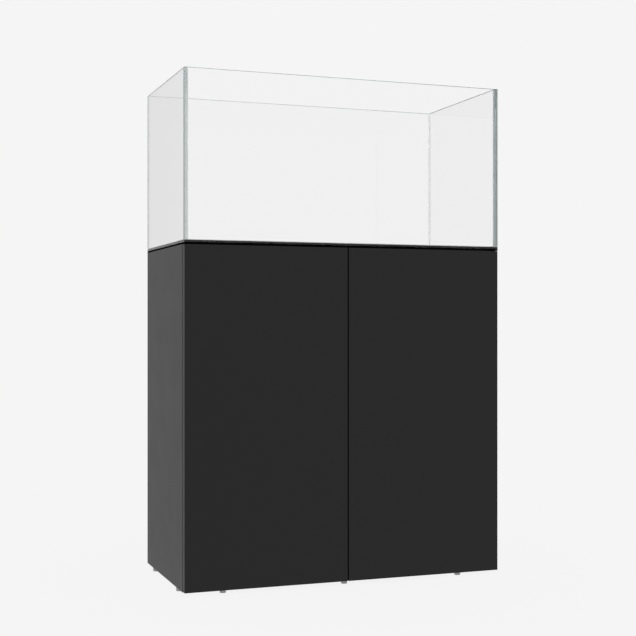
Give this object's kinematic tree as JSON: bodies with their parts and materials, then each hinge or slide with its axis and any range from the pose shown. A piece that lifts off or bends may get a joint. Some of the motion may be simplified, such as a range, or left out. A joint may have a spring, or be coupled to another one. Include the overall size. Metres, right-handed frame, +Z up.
{
  "type": "aquarium on stand",
  "caption": "Rectangular rimless glass tank, open at the top, on a tall black cabinet with flat handleless doors, shelves, a levelling mat and low plastic glides.",
  "frame": {"origin": "centre of the footprint, on the floor under the glides", "axes": "+X to the right as seen facing the doors, +Y to the back, the doors facing -Y, +Z up"},
  "size_m": [0.9, 0.45, 1.3625],
  "materials": {
    "black_laminate": "satin",
    "black_backboard": "matte",
    "black_port_plastic": "satin",
    "zinc_plated_steel": "satin",
    "cast_zinc": "matte",
    "nickel_plated_steel": "polished",
    "clear_bumper_gel": "satin",
    "grey_latch_plastic": "satin",
    "pale_latch_plastic": "satin",
    "foam_mat": "matte",
    "clear_silicone": "satin",
    "low_iron_glass": "polished",
    "grey_glide_plastic": "satin"
  },
  "bodies": {
    "cabinet": {"left_side": "black_laminate", "right_side": "black_laminate", "bottom_panel": "black_laminate", "top_panel": "black_laminate", "centre_divider": "black_laminate", "back_panel": "black_backboard", "left_port_ring": "black_port_plastic", "right_port_ring": "black_port_plastic", "back_screws": "zinc_plated_steel", "cam_locks": "cast_zinc", "cam_bolts": "zinc_plated_steel", "shelf_pins": "nickel_plated_steel", "left_hinge_arms": "nickel_plated_steel", "right_hinge_arms": "nickel_plated_steel", "left_hinge_plates": "nickel_plated_steel", "right_hinge_plates": "nickel_plated_steel", "left_plate_screws": "zinc_plated_steel", "right_plate_screws": "zinc_plated_steel", "left_latch_housing": "grey_latch_plastic", "right_latch_housing": "grey_latch_plastic", "levelling_mat": "foam_mat", "tank_base": "low_iron_glass", "tank_front": "low_iron_glass", "tank_back": "low_iron_glass", "tank_left": "low_iron_glass", "tank_right": "low_iron_glass", "tank_seams": "clear_silicone", "glides": "grey_glide_plastic", "glide_nails": "zinc_plated_steel"},
    "left_links": {"left_hinge_links": "nickel_plated_steel", "left_hinge_pins": "nickel_plated_steel"},
    "right_links": {"right_hinge_links": "nickel_plated_steel", "right_hinge_pins": "nickel_plated_steel"},
    "left_door_body": {"left_door": "black_laminate", "left_bumpers": "clear_bumper_gel", "left_hinge_cups": "nickel_plated_steel", "left_cup_screws": "zinc_plated_steel", "left_strike": "zinc_plated_steel"},
    "right_door_body": {"right_door": "black_laminate", "right_bumpers": "clear_bumper_gel", "right_hinge_cups": "nickel_plated_steel", "right_cup_screws": "zinc_plated_steel", "right_strike": "zinc_plated_steel"},
    "left_plunger_body": {"left_latch_plunger": "pale_latch_plastic"},
    "right_plunger_body": {"right_latch_plunger": "pale_latch_plastic"},
    "left_shelf_body": {"left_shelf": "black_laminate"},
    "right_shelf_body": {"right_shelf": "black_laminate"}
  },
  "joints": [
    {"name": "left_link_swing", "type": "hinge", "parent": "cabinet", "child": "left_links", "pos_m": [-0.415, -0.2171, 0.45975], "axis": [0, 0, 1], "range_deg": [0, 36.1]},
    {"name": "left_door_swing", "type": "hinge", "parent": "left_links", "child": "left_door_body", "pos_m": [-0.43585, -0.2139, 0.45975], "axis": [0, 0, -1], "range_deg": [0, 131.1]},
    {"name": "right_link_swing", "type": "hinge", "parent": "cabinet", "child": "right_links", "pos_m": [0.415, -0.2171, 0.45975], "axis": [0, 0, -1], "range_deg": [0, 36.1]},
    {"name": "right_door_swing", "type": "hinge", "parent": "right_links", "child": "right_door_body", "pos_m": [0.43585, -0.2139, 0.45975], "axis": [0, 0, 1], "range_deg": [0, 131.1]},
    {"name": "left_latch_press", "type": "slide", "parent": "cabinet", "child": "left_plunger_body", "axis": [0, 1, 0], "range_m": [0, 0.003], "stiffness_N_per_m": 600},
    {"name": "left_shelf_lift", "type": "slide", "parent": "cabinet", "child": "left_shelf_body", "axis": [0, 0, 1], "range_m": [0, 0.03]},
    {"name": "right_latch_press", "type": "slide", "parent": "cabinet", "child": "right_plunger_body", "axis": [0, 1, 0], "range_m": [0, 0.003], "stiffness_N_per_m": 600},
    {"name": "right_shelf_lift", "type": "slide", "parent": "cabinet", "child": "right_shelf_body", "axis": [0, 0, 1], "range_m": [0, 0.03]}
  ],
  "couplings": [
    {"joint": "left_link_swing", "follows": "left_door_swing", "ratio": 0.27536},
    {"joint": "right_link_swing", "follows": "right_door_swing", "ratio": 0.27536}
  ]
}
